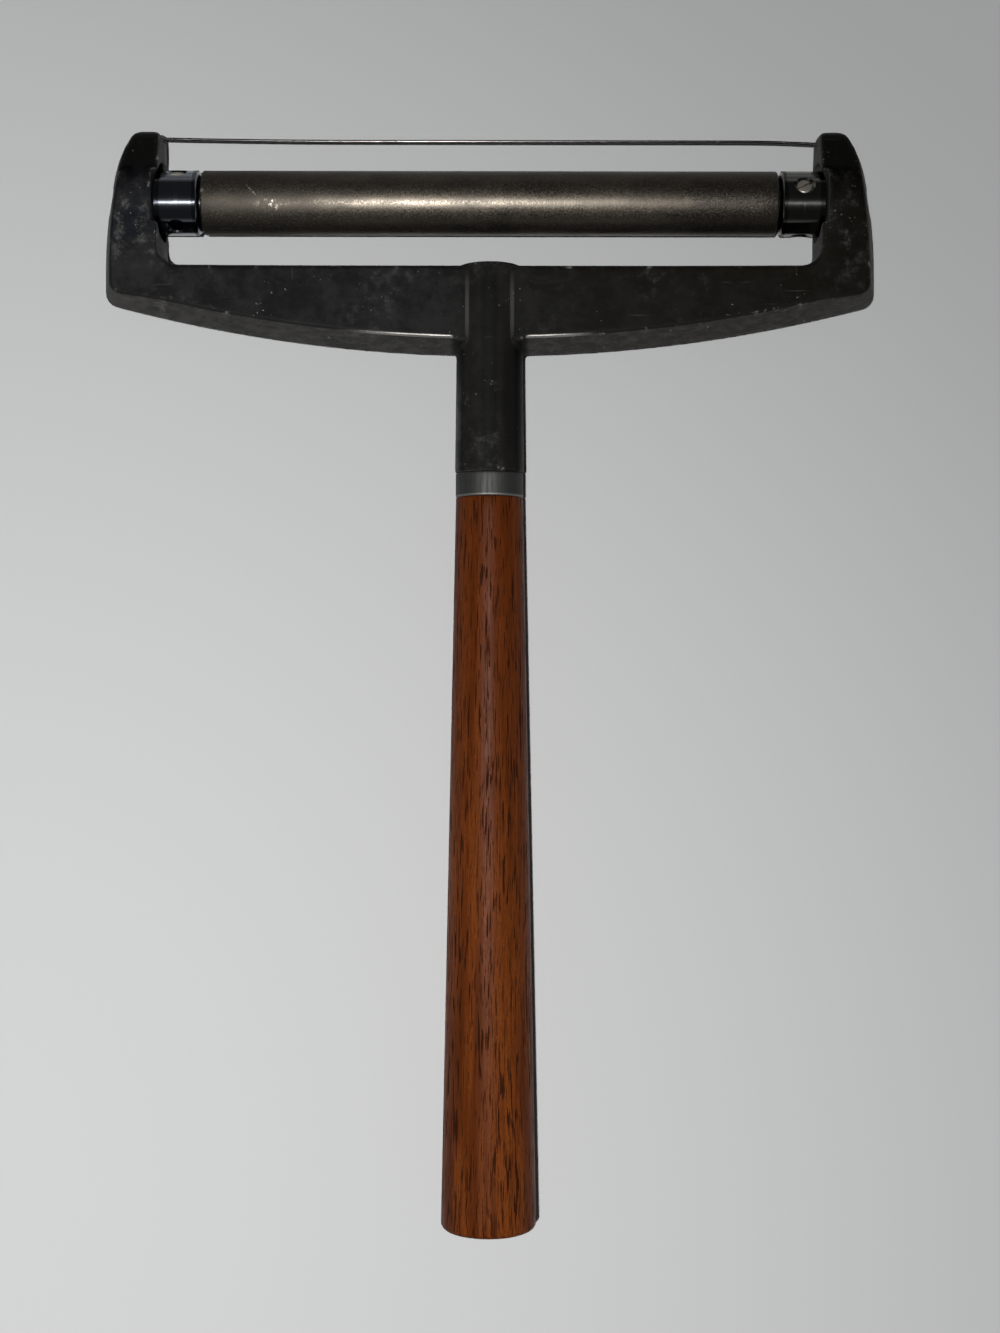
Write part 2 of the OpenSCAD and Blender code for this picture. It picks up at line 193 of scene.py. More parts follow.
class NutSettings(bpy.types.PropertyGroup):
    """Sizes and colour of the tension nuts"""

    inner_edge: length_setting("Inner edge", "Rounding towards the roller", 0.0013)
    outer_edge: length_setting("Outer edge", "Rounding towards the arm", 0.0015)
    hole: length_setting("Hole", "Radius of the radial holes", 0.00155)
    sink: length_setting("Countersink", "Radius of the holes' countersinks", 0.0021)
    left_turn: angle_setting("Left turn", "Turn of the left nut, from straight up towards the wire", 60)
    right_turn: angle_setting("Right turn", "Turn of the right nut, from straight up towards the wire", 23)
    chrome: colour_setting("Chrome", "Colour of the left nut's plating", (0.225, 0.242, 0.272))
    # Painted shade: the right nut, the same part as the left, is given a darker plating colour
    shaded_chrome: colour_setting("Dull chrome", "Colour of the right nut's plating", (0.160, 0.162, 0.150))
    hairline: colour_setting("Hairlines", "Colour of the fine marks in the plating", (0.26, 0.27, 0.30))


class ScrewSettings(bpy.types.PropertyGroup):
    """Sizes and colour of the lock screws"""

    recess: length_setting("Recess", "Depth of a screw's head below the nut's surface", 0.0005)
    slot: length_setting("Slot", "Width of the screwdriver slots", 0.0005)
    slot_depth: length_setting("Slot depth", "Depth of the screwdriver slots", 0.0008)
    slot_turn: angle_setting("Slot turn", "Turn of the slots in the screws", 30)
    edge: length_setting("Edge", "Rounding of the screws' ends", 0.0002)
    burr: length_setting("Burr", "Bevel along the slots' edges", 0.00006)
    steel: colour_setting("Steel", "Colour of the lock screws", (0.62, 0.58, 0.50))
    dull: colour_setting("Dull steel", "Colour of their rings and dull spots", (0.20, 0.18, 0.15))


class WireSettings(bpy.types.PropertyGroup):
    """Shape and colour of the cutting wire"""

    left_lift: length_setting("Left lift", "How far the worn wire rises at its left end", 0.00055)
    right_drop: length_setting("Right drop", "How far the worn wire drops at its right end", 0.00045)
    left_reach: length_setting("Left reach", "Length of wire that rises with the left end", 0.045)
    right_reach: length_setting("Right reach", "Length of wire that drops to each side on the right", 0.016)
    right_place: length_setting("Right place", "Where the wire drops, right of the middle", 0.0655)
    steel: colour_setting("Steel", "Colour of the wire", (0.12, 0.117, 0.113))
    dull: colour_setting("Dull steel", "Colour of its rings and dull spots", (0.07, 0.067, 0.064))


class NippleSettings(bpy.types.PropertyGroup):
    """Shape and colour of the wire's nipples"""

    crimp: share_setting("Crimp", "Thickness left where a nipple is pressed flat", 0.8)
    edge: length_setting("Edge", "Rounding of the nipples' ends", 0.00012)
    brass: colour_setting("Brass", "Colour of the nipples", (0.45, 0.33, 0.14))
    dull: colour_setting("Dull brass", "Colour of their rings and dull spots", (0.16, 0.11, 0.05))


class FerruleSettings(bpy.types.PropertyGroup):
    """Sizes and colour of the ferrule"""

    wall: length_setting("Wall", "Wall of the ferrule", 0.001)
    edge: length_setting("Edge", "Rounding of the ferrule's edges", 0.0003)
    # Painted highlight: the pale band on the ferrule's rounded edge at the wood
    rim: colour_setting("Rim", "Colour of the polished rim at the wood", (0.20, 0.195, 0.185))
    metal: colour_setting("Metal", "Colour of the ferrule", (0.066, 0.066, 0.064))


class HandleSettings(bpy.types.PropertyGroup):
    """Sizes and colours of the wooden handle and its tang"""

    end_edge: length_setting("End edge", "Rounding of the wood at its end", 0.0012)
    top_edge: length_setting("Top edge", "Rounding of the wood at the ferrule", 0.0003)
    dark_wood: colour_setting("Dark wood", "Colour of the dark streaks", (0.074, 0.0160, 0.0024))
    light_wood: colour_setting("Light wood", "Colour of the light streaks", (0.150, 0.0365, 0.0072))
    amber_wood: colour_setting("Amber wood", "Colour of the warm streaks", (0.175, 0.0445, 0.0082))
    red_wood: colour_setting("Red wood", "Colour of the wood at the ferrule", (0.075, 0.0130, 0.0010))
    pore: colour_setting("Pores", "Colour of the open pores", (0.020, 0.0048, 0.0016))
    tang: colour_setting("Tang", "Colour of the tang", (0.40, 0.40, 0.40))
    dull_tang: colour_setting("Dull tang", "Colour of its rings and dull spots", (0.16, 0.15, 0.14))


class StageSettings(bpy.types.PropertyGroup):
    """Floor, room light, lamp and camera"""

    floor: colour_setting("Floor", "Colour of the floor", (0.56, 0.565, 0.565))
    horizon: colour_setting("Horizon", "Room light near the horizon", (0.34, 0.34, 0.34))
    overhead: colour_setting("Overhead", "Room light from overhead", (0.030, 0.030, 0.031))
    key: FloatProperty(
        name="Key lamp",
        description="Power of the lamp over the camera",
        default=3.5,
        min=0,
        unit="POWER",
    )
    key_size: length_setting("Lamp size", "Diameter of the lamp", 0.018)
    key_spread: angle_setting("Lamp spread", "Angle that the lamp's light spreads over", 152)
    key_place: place_setting("Lamp place", "Where the lamp hangs", (-0.0420, -0.0125, 0.60))
    key_target: place_setting("Lamp target", "Where the lamp is aimed", (-0.31, -0.35, 0))
    camera_place: place_setting("Camera place", "Camera over the axle's plane", (0.00215, 0.0030, 0.385))
    camera_roll: angle_setting("Camera roll", "Turn of the camera about its line of sight", 0.08)
    lens: FloatProperty(
        name="Lens",
        description="Focal length for the picture's long side",
        default=52.0,
        subtype="DISTANCE_CAMERA",
    )


class SlicerSettings(bpy.types.PropertyGroup):
    """All settings of the slicer"""

    casting: PointerProperty(type=CastingSettings)
    roller: PointerProperty(type=RollerSettings)
    axle: PointerProperty(type=AxleSettings)
    nuts: PointerProperty(type=NutSettings)
    screws: PointerProperty(type=ScrewSettings)
    wire: PointerProperty(type=WireSettings)
    nipples: PointerProperty(type=NippleSettings)
    ferrule: PointerProperty(type=FerruleSettings)
    handle: PointerProperty(type=HandleSettings)
    stage: PointerProperty(type=StageSettings)


# Modelling helpers


def deselect():
    bpy.ops.object.select_all(action="DESELECT")


def only(obj):
    """Makes obj the one selected and active object."""
    deselect()
    obj.select_set(True)
    bpy.context.view_layer.objects.active = obj


def named(name):
    """Names the object that was just added, and moves its place into its mesh."""
    obj = bpy.context.active_object
    obj.name = name
    obj.data.name = name
    bpy.ops.object.transform_apply(location=True, rotation=True, scale=True)
    return obj


def copy_of(source, name, place, turn):
    """Copies a piece with a mesh of its own, and turns and moves the copy."""
    only(source)
    bpy.ops.object.duplicate()
    copy = bpy.context.active_object
    copy.location = place
    copy.rotation_euler = turn
    return named(name)


def remove(obj):
    bpy.data.meshes.remove(obj.data)


def edit(obj):
    only(obj)
    bpy.ops.object.mode_set(mode="EDIT")


def done():
    bpy.ops.object.mode_set(mode="OBJECT")


def pick(obj, kind, test):
    """In edit mode, selects the faces, edges or corners that pass the test."""
    bpy.ops.mesh.select_mode(type=kind)
    bpy.ops.mesh.select_all(action="DESELECT")
    mesh = bmesh.from_edit_mesh(obj.data)
    parts = {"FACE": mesh.faces, "EDGE": mesh.edges, "VERT": mesh.verts}[kind]
    for part in parts:
        part.select_set(test(part))
    mesh.select_flush_mode()
    bmesh.update_edit_mesh(obj.data)


def station(point, line):
    """Where a point lies along a line, and how far off it."""
    offset = point - line[0]
    along = offset.dot(line[1])
    return along, (offset - along * line[1]).length


def on_rim(line, along, radius):
    """Test for the edges of a rim that is at one place along a line, with one radius."""

    def test(edge):
        places = [station(v.co, line) for v in edge.verts]
        return all(abs(a - along) < NEAR and abs(r - radius) < NEAR for a, r in places)

    return test


def runs_along(line, radius):
    """Test for edges that run along a line at one radius."""

    def test(edge):
        (a, first), (b, second) = [station(v.co, line) for v in edge.verts]
        return abs(a - b) > NEAR and abs(first - radius) < NEAR and abs(second - radius) < NEAR

    return test


def end_face(face):
    return len(face.verts) > 8


def add_rod(name, line, low, high, radius, sides=SIDES):
    """Plain cylinder on a line, from low to high along it."""
    axis = max(range(3), key=lambda i: abs(line[1][i]))
    deselect()
    bpy.ops.mesh.primitive_cylinder_add(
        vertices=sides,
        radius=radius,
        depth=high - low,
        location=line[0] + line[1] * (low + high) / 2,
        rotation=TURN_ALONG[axis],
    )
    return named(name)


def bore_through(obj, wall):
    """In edit mode, opens a cylinder from end to end and leaves a wall."""
    pick(obj, "FACE", end_face)
    bpy.ops.mesh.inset(thickness=wall)
    bpy.ops.mesh.bridge_edge_loops()


def round_rim(obj, line, along, radius, size, segments):
    """In edit mode, rounds a rim."""
    pick(obj, "EDGE", on_rim(line, along, radius))
    bpy.ops.mesh.bevel(offset=size, segments=segments, profile=0.5, affect="EDGES")


def cut_along(obj, line, radius, cuts):
    """In edit mode, cuts a cylinder's side into rings."""
    pick(obj, "EDGE", runs_along(line, radius))
    bpy.ops.mesh.subdivide(number_cuts=cuts)


def apply_modifier(obj, kind, **settings):
    """Adds a modifier, sets it and applies it."""
    only(obj)
    modifier = obj.modifiers.new(kind.lower(), kind)
    for key, value in settings.items():
        setattr(modifier, key, value)
    bpy.ops.object.modifier_apply(modifier=modifier.name)


def cut_away(obj, cutter):
    """Takes the cutter's shape out of obj and deletes the cutter."""
    apply_modifier(obj, "BOOLEAN", object=cutter, operation="DIFFERENCE", solver="EXACT")
    remove(cutter)


def smooth(obj, degrees):
    only(obj)
    bpy.ops.object.shade_smooth_by_angle(angle=math.radians(degrees))


def fit(obj, body, nodes, finish):
    """Puts a finished piece on its body, in place of its CAD nodes."""
    obj.data.materials.clear()
    obj.data.materials.append(finish)
    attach(obj, body)
    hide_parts(*nodes)


def dress(node, finish):
    """Gives a CAD node that stays its finish."""
    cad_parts[node].material_slots[0].material = finish


# Finishes


class Finish:
    """A material's nodes, on the object's own coordinates."""

    def __init__(self, name):
        self.material = bpy.data.materials.new(name)
        self.material.use_nodes = True
        self.tree = self.material.node_tree
        self.shader = self.tree.nodes["Principled BSDF"]
        self.where = self.add("ShaderNodeTexCoord").outputs["Object"]

    def add(self, kind, **settings):
        node = self.tree.nodes.new(kind)
        for key, value in settings.items():
            setattr(node, key, value)
        return node

    def put(self, socket, value):
        """Links a socket, or sets its value."""
        if isinstance(value, bpy.types.NodeSocket):
            self.tree.links.new(value, socket)
        elif hasattr(value, "__len__") and len(value) == 3 and socket.type == "RGBA":
            socket.default_value = (*value, 1)
        else:
            socket.default_value = value

    def surface(self, **values):
        for key, value in values.items():
            self.put(self.shader.inputs[key.replace("_", " ")], value)

    def along(self, axis):
        """The place along one axis of the frame."""
        node = self.add("ShaderNodeSeparateXYZ")
        self.put(node.inputs[0], self.where)
        return node.outputs[axis]

    def round_axis(self, axis):
        """Direction round an axis, for turned surfaces."""
        return self.add("ShaderNodeTangent", direction_type="RADIAL", axis=axis).outputs["Tangent"]

    def mapped(self, scale=(1, 1, 1), turn=(0, 0, 0), move=(0, 0, 0), where=None):
        node = self.add("ShaderNodeMapping")
        self.put(node.inputs["Vector"], where or self.where)
        self.put(node.inputs["Location"], move)
        self.put(node.inputs["Rotation"], [math.radians(a) for a in turn])
        self.put(node.inputs["Scale"], scale)
        return node.outputs["Vector"]

    def noise(self, size, detail=2.0, rough=0.5, where=None):
        """Noise whose blotches are about size metres across."""
        node = self.add("ShaderNodeTexNoise")
        self.put(node.inputs["Vector"], where or self.where)
        self.put(node.inputs["Scale"], 1 / size)
        self.put(node.inputs["Detail"], detail)
        self.put(node.inputs["Roughness"], rough)
        return node.outputs["Fac"]

    def step(self, value, low, high, start=0.0, end=1.0):
        """Smooth step from low to high."""
        node = self.add("ShaderNodeMapRange", interpolation_type="SMOOTHSTEP")
        inputs = {"Value": value, "From Min": low, "From Max": high, "To Min": start, "To Max": end}
        for key, x in inputs.items():
            self.put(node.inputs[key], x)
        return node.outputs["Result"]

    def calc(self, operation, a, b):
        node = self.add("ShaderNodeMath", operation=operation)
        self.put(node.inputs[0], a)
        self.put(node.inputs[1], b)
        return node.outputs[0]

    def times(self, first, *others):
        """Product of several numbers."""
        for other in others:
            first = self.calc("MULTIPLY", first, other)
        return first

    def most(self, first, *others):
        """Largest of several numbers."""
        for other in others:
            first = self.calc("MAXIMUM", first, other)
        return first

    def absolute(self, value):
        return self.calc("ABSOLUTE", value, 0)

    def mix(self, share, a, b):
        """Colour between a and b."""
        node = self.add("ShaderNodeMix", data_type="RGBA")
        self.put(node.inputs[0], share)
        self.put(node.inputs[6], a)
        self.put(node.inputs[7], b)
        return node.outputs[2]

    def blend(self, share, a, b):
        """Number between a and b."""
        node = self.add("ShaderNodeMix", data_type="FLOAT")
        self.put(node.inputs[0], share)
        self.put(node.inputs[2], a)
        self.put(node.inputs[3], b)
        return node.outputs[0]

    def ball(self, centre, size, turn=0):
        """1 at a place, falling to 0 at the ends of an ellipsoid round it, turned by degrees about Z."""
        place = self.add("ShaderNodeMapping", vector_type="TEXTURE")
        self.put(place.inputs["Vector"], self.where)
        self.put(place.inputs["Location"], centre)
        self.put(place.inputs["Rotation"], (0, 0, math.radians(turn)))
        self.put(place.inputs["Scale"], size)
        node = self.add("ShaderNodeTexGradient", gradient_type="QUADRATIC_SPHERE")
        self.put(node.inputs["Vector"], place.outputs["Vector"])
        return node.outputs["Fac"]

    def bump(self, height, depth, under=None):
        """Bump whose height runs over depth metres."""
        node = self.add("ShaderNodeBump")
        self.put(node.inputs["Strength"], 1.0)
        self.put(node.inputs["Distance"], depth)
        self.put(node.inputs["Height"], height)
        if under is not None:
            self.put(node.inputs["Normal"], under)
        return node.outputs["Normal"]


def casting_finish(settings):
    """Darkened casting: cloudy coat, scuffed patches, nicks, fine scratches and edges worn bright, with
    painted reflection on the walls, painted shade on the neck, rims and tips, and painted highlights in the
    creases.
    """
    f = Finish("darkened_casting")
    y, z = AXLE_MID.y, AXLE_MID.z
    across, down, height = f.along("X"), f.along("Y"), f.along("Z")
    edge = f.add("ShaderNodeAttribute", attribute_name="wear").outputs["Fac"]
    fine = f.noise(0.0005, 3, 0.6)
    clouds = f.step(f.noise(0.0060, 6, 0.70), 0.40, 0.63)
    # Masks by where the surface lies and faces
    facing = f.add("ShaderNodeSeparateXYZ")
    f.put(facing.inputs[0], f.add("ShaderNodeTexCoord").outputs["Normal"])
    upward = f.absolute(facing.outputs["Z"])
    off_middle = f.absolute(across)
    off_neck = f.step(off_middle, 0.0066, 0.0082)
    level = f.step(upward, 0.70, 0.95)
    sloping = f.times(f.step(upward, 0.90, 0.60), off_neck)
    upright = f.times(f.step(upward, 0.45, 0.15), off_neck)
    turning = f.times(f.step(upward, 0.995, 0.95), f.step(upward, 0.55, 0.75))
    face_rim = f.times(f.step(upward, 0.992, 0.970), f.step(upward, 0.86, 0.93), off_neck)
    left_arm = f.times(f.step(across, -0.050, -0.070), f.step(down, y - 0.013, y - 0.007))
    tip_start = f.calc("ADD", down, f.times(f.noise(0.0040, 4, 0.6), 0.004))
    tips = f.times(level, f.step(tip_start, y - 0.0005, y + 0.0095))
    neck_sides = f.times(f.step(upward, 0.62, 0.25), f.step(down, y - 0.034, y - 0.038))
    neck_sides = f.times(neck_sides, f.step(across, 0.002, -0.002, 1.0, 1.45))
    neck_shade = f.ball((0.0043, y - 0.0395, z), (0.0048, 0.026, 0.06))
    # Scuffed places: left arm, right arm, and the bar below both arms
    scuffed = f.ball((-0.069, y - 0.004, z), (0.010, 0.016, 0.03))
    for place in ((0.0710, y - 0.0085), (0.0640, y - 0.0225), (-0.0640, y - 0.0225)):
        scuffed = f.most(scuffed, f.ball((*place, z), (0.006, 0.005, 0.03)))
    likely = f.calc("ADD", f.times(sloping, 0.07), f.times(scuffed, 0.16))
    likely = f.calc("ADD", f.noise(0.013, 2), likely)
    patches = f.times(f.step(f.noise(0.0030, 6, 0.72), 0.50, 0.66), f.step(likely, 0.50, 0.64))
    scuffs = f.times(patches, f.step(scuffed, 0.0, 0.25, 0.28, 0.85), f.step(fine, 0.25, 0.75, 0.2, 1.0))
    smears = f.step(f.noise(0.0030, 5, 0.65, f.mapped((0.35, 1, 1), (0, 0, 8))), 0.48, 0.70)
    cloudy = f.times(f.most(clouds, f.times(smears, 0.8)), f.step(across, -0.02, 0.04, 0.33, 0.14))
    cloudy = f.times(cloudy, f.step(off_middle, 0.003, 0.008, 0.45, 1.0))
    mottle = f.step(f.noise(0.0014, 6, 0.75, f.mapped((0.5, 1, 1))), 0.36, 0.68)
    # Bare metal: edges next to the hub, other rubbed edges, nicks and scratches; painted highlights in the
    # creases beside the hub
    hub_left = f.ball((-0.0100, y - 0.0275, z), (0.0310, 0.006, 0.014))
    hub_right = f.ball((0.0090, y - 0.0275, z), (0.0190, 0.006, 0.014))
    hub_edge = f.times(f.most(hub_left, hub_right), off_neck, f.step(fine, 0.2, 0.8, 0.8, 1.2))
    hub_line = f.times(turning, f.step(hub_edge, 0.02, 0.42))
    arm_line = f.times(turning, f.ball((0.0770, y - 0.004, z), (0.006, 0.022, 0.03)))
    off_plane = f.step(f.absolute(f.calc("SUBTRACT", height, z)), 0.0025, 0.0035)
    rubbed = f.times(f.step(f.noise(0.003, 4, 0.6), 0.58, 0.80, 0.0, 0.7), off_plane)
    rubbed = f.times(rubbed, f.step(edge, settings.edge_low, settings.edge_high))
    worn = f.most(hub_line, rubbed)
    hub = f.ball((0, y - 0.022, z), (0.010, 0.016, 0.014))
    # Painted highlight: the creases beside the hub are made pale with the bare-metal colour
    crease_highlight = f.times(f.step(edge, settings.crease_high, settings.crease_low), f.step(hub, 0.02, 0.2))
    nicks = f.times(f.step(f.noise(0.0007, 2, 0.5), 0.69, 0.75), f.step(f.noise(0.008, 2), 0.50, 0.64))
    scratch_a = f.step(f.noise(0.0012, 1.5, 0.5, f.mapped((0.08, 1.6, 1), (0, 0, 24))), 0.72, 0.78)
    scratch_b = f.step(f.noise(0.0012, 1.5, 0.5, f.mapped((1.5, 0.08, 1), (0, 0, -12))), 0.73, 0.79)
    scratches = f.times(f.most(scratch_a, scratch_b), f.step(f.noise(0.010, 2), 0.45, 0.62))
    marks = f.most(f.times(nicks, 0.38), f.times(scratches, 0.09), f.times(arm_line, 0.22))
    marks = f.most(marks, f.times(crease_highlight, 0.10), f.times(turning, 0.015))
    # Coat, from its ground colour to its darkest places, with painted reflection on walls and neck sides and
    # painted shade on the neck, rims and tips
    coat = f.mix(f.step(across, -0.03, 0.05), settings.coat, settings.brown)
    coat = f.mix(left_arm, coat, settings.blue)
    coat = f.mix(cloudy, coat, settings.cloud)
    coat = f.mix(scuffs, coat, settings.scuff)
    coat = f.mix(f.times(sloping, f.step(mottle, 0.0, 1.0, 0.25, 0.46)), coat, settings.wall)
    # Painted reflection: the upright walls and the neck's sides, the left side most, are lightened towards
    # the wall colour
    coat = f.mix(f.times(upright, f.step(clouds, 0.0, 1.0, 0.30, 0.75)), coat, settings.wall)
    coat = f.mix(f.times(neck_sides, f.step(clouds, 0.0, 1.0, 0.22, 0.55)), coat, settings.wall)
    # Painted shade: the right side of the neck is darkened towards black
    coat = f.mix(f.step(neck_shade, 0.0, 0.5, 0.0, 0.88), coat, settings.shade_black)
    # Painted shade: the rounded rims where the faces turn down are darkened towards black
    coat = f.mix(f.times(face_rim, 0.75), coat, settings.shade_black)
    # Painted shade: the arm tips, which slope away from the lamp, are darkened towards black
    coat = f.mix(f.times(tips, 0.95), coat, settings.shade_black)
    sheen = f.blend(clouds, settings.roughness - 0.05, settings.roughness + 0.06)
    sheen = f.calc("SUBTRACT", sheen, f.times(tips, 0.20))
    f.surface(
        Base_Color=f.mix(f.most(worn, marks), coat, settings.bare),
        Metallic=f.most(worn, f.times(marks, 0.8)),
        Roughness=f.blend(worn, f.calc("ADD", sheen, f.step(fine, 0.2, 0.8, -0.04, 0.04)), 0.36),
        Specular_IOR_Level=0.05,
        Normal=f.bump(fine, 0.000010, f.bump(f.noise(0.0035, 4, 0.6), 0.00005)),
    )
    return f.material


def roller_finish(settings):
    """Dull turned tube: fine grain, stains, nicks, darker ends and painted shade on the side towards the
    wire.
    """
    f = Finish("dull_roller")
    y, top = AXLE_MID.y, AXLE_MID.z + 0.0070
    edge_of_tone = f.calc("ADD", f.along("X"), f.times(f.noise(0.004, 3), 0.0025))
    patches = f.step(f.noise(0.010, 5, 0.6, f.mapped((0.5, 1, 1))), 0.38, 0.62)
    lines = f.noise(0.0006, 3, 0.6, f.mapped((1, 0.08, 0.08)))
    grain = f.noise(0.00030, 2, 0.6)
    # Dark places: stains, both ends and a spot right of the middle; painted shade along the side towards the
    # wire
    stains = f.step(f.noise(0.0050, 5, 0.65, f.mapped((0.3, 1, 1), move=(3, 1, 2))), 0.50, 0.68)
    dark_end = f.step(edge_of_tone, 0.0400, 0.0420)
    dull_end = f.step(edge_of_tone, -0.017, -0.048)
    dull_spot = f.ball((0.0110, y, top), (0.0150, 0.010, 0.010))
    # Painted shade: the side of the tube towards the wire is darkened
    shaded_side = f.step(f.along("Y"), y + 0.0026, y + 0.0056)
    dark = f.most(f.times(stains, 0.60), f.times(dark_end, 0.50), f.times(dull_end, 0.58))
    dark = f.most(dark, f.times(dull_spot, 0.6), f.times(shaded_side, 0.65))
    # Scarred places on the left, and one turned scrape
    scar = f.ball((-0.0430, y - 0.0017, top), (0.0050, 0.0022, 0.006))
    end_scar = f.ball((-0.0572, y + 0.0005, top), (0.0016, 0.0040, 0.006))
    scrape = f.ball((-0.0470, y + 0.0012, top), (0.0026, 0.00030, 0.006), -48)
    nicks = f.times(f.step(f.noise(0.0008, 3, 0.6), 0.52, 0.62), f.step(f.most(scar, end_scar), 0.05, 0.5))
    nicks = f.most(nicks, f.times(f.step(scrape, 0.05, 0.5), f.step(grain, 0.40, 0.60)))
    metal = f.mix(patches, settings.tarnish, settings.metal)
    metal = f.mix(f.step(lines, 0.35, 0.68, 0.0, 0.25), metal, settings.tarnish)
    metal = f.mix(dark, metal, settings.stain_and_shade)
    speckled = f.mix(f.step(grain, 0.45, 0.72, 0.0, 0.22), metal, settings.speckle)
    rough = f.blend(patches, settings.roughness + 0.05, settings.roughness)
    rough = f.calc("ADD", rough, f.times(dull_end, 0.15))
    f.surface(
        Base_Color=f.mix(f.times(nicks, 0.7), speckled, settings.nick),
        Metallic=0.86,
        Roughness=f.calc("ADD", rough, f.step(grain, 0.3, 0.7, -0.06, 0.10)),
        Anisotropic=0.35,
        Tangent=f.round_axis("X"),
        Normal=f.bump(grain, 0.000008, f.bump(lines, 0.000006)),
    )
    return f.material


def chrome_finish(settings):
    """Turned and plated metal with a few fine marks, and painted shade on the right nut."""
    f = Finish("polished_chrome")
    haze = f.step(f.noise(0.0028, 4, 0.6), 0.45, 0.75)
    hairline = f.step(f.noise(0.0006, 1, 0.5, f.mapped((1.2, 0.06, 0.06))), 0.66, 0.74)
    # Painted shade: the right nut's plating is darker than the left's
    plating = f.mix(f.step(f.along("X"), -0.02, 0.02), settings.chrome, settings.shaded_chrome)
    f.surface(
        Base_Color=f.mix(f.times(hairline, 0.5), plating, settings.hairline),
        Metallic=1.0,
        Roughness=f.calc("ADD", f.step(haze, 0, 1, 0.145, 0.170), f.times(hairline, 0.05)),
        Anisotropic=0.70,
        Anisotropic_Rotation=0.25,
        Tangent=f.round_axis("X"),
        Normal=f.bump(f.noise(0.0016, 2, 0.5), 0.000003),
    )
    return f.material


def turned_finish(name, colour, dark, roughness, along):
    """Turned or drawn metal, with fine rings square to one axis of the frame and some dull spots."""
    f = Finish(name)
    stretch = [0.02, 0.02, 0.02]
    stretch[along] = 1.0
    rings = f.noise(0.00025, 2, 0.6, f.mapped(stretch))
    spots = f.step(f.noise(0.004, 4, 0.6), 0.50, 0.72)
    dull = f.mix(f.times(spots, 0.6), colour, dark)
    rough = f.step(rings, 0.3, 0.7, roughness - 0.05, roughness + 0.05)
    f.surface(
        Base_Color=f.mix(f.step(rings, 0.35, 0.70, 0.0, 0.5), dull, dark),
        Metallic=1.0,
        Roughness=f.calc("ADD", f.times(spots, 0.12), rough),
        Normal=f.bump(rings, 0.000006),
    )
    return f.material


def ferrule_finish(settings):
    """Dull turned ring with fine marks along it, and a painted highlight on its edge at the wood."""
    f = Finish("turned_aluminium")
    rings = f.noise(0.0004, 2, 0.6, f.mapped((0.03, 1, 0.03)))
    marks = f.noise(0.00035, 3, 0.6, f.mapped((1, 0.06, 1)))
    spots = f.step(f.noise(0.0022, 4, 0.6), 0.50, 0.75)
    metal = f.mix(f.step(marks, 0.40, 0.70, 0.0, 0.30), settings.metal, [c * 0.5 for c in settings.metal])
    metal = f.mix(f.times(spots, 0.30), metal, [c * 0.6 for c in settings.metal])
    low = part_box("ferrule")[0].y
    f.surface(
        # Painted highlight: the rounded edge at the wood is made pale
        Base_Color=f.mix(f.step(f.along("Y"), low + 0.0006, low + 0.0003), metal, settings.rim),
        Metallic=1.0,
        Roughness=f.step(marks, 0.3, 0.7, 0.54, 0.64),
        Anisotropic=0.35,
        Tangent=f.round_axis("Y"),
        Normal=f.bump(rings, 0.000004),
    )
    return f.material


def bush_finish(settings):
    """Turned dark nylon."""
    f = Finish("dark_nylon")
    rings = f.noise(0.0003, 2, 0.5, f.mapped((1, 0.03, 0.03)))
    f.surface(
        Base_Color=f.mix(f.noise(0.002, 3), settings.bush, [c * 0.6 for c in settings.bush]),
        Roughness=f.step(rings, 0.3, 0.7, 0.42, 0.56),
        Normal=f.bump(rings, 0.00001),
    )
    return f.material


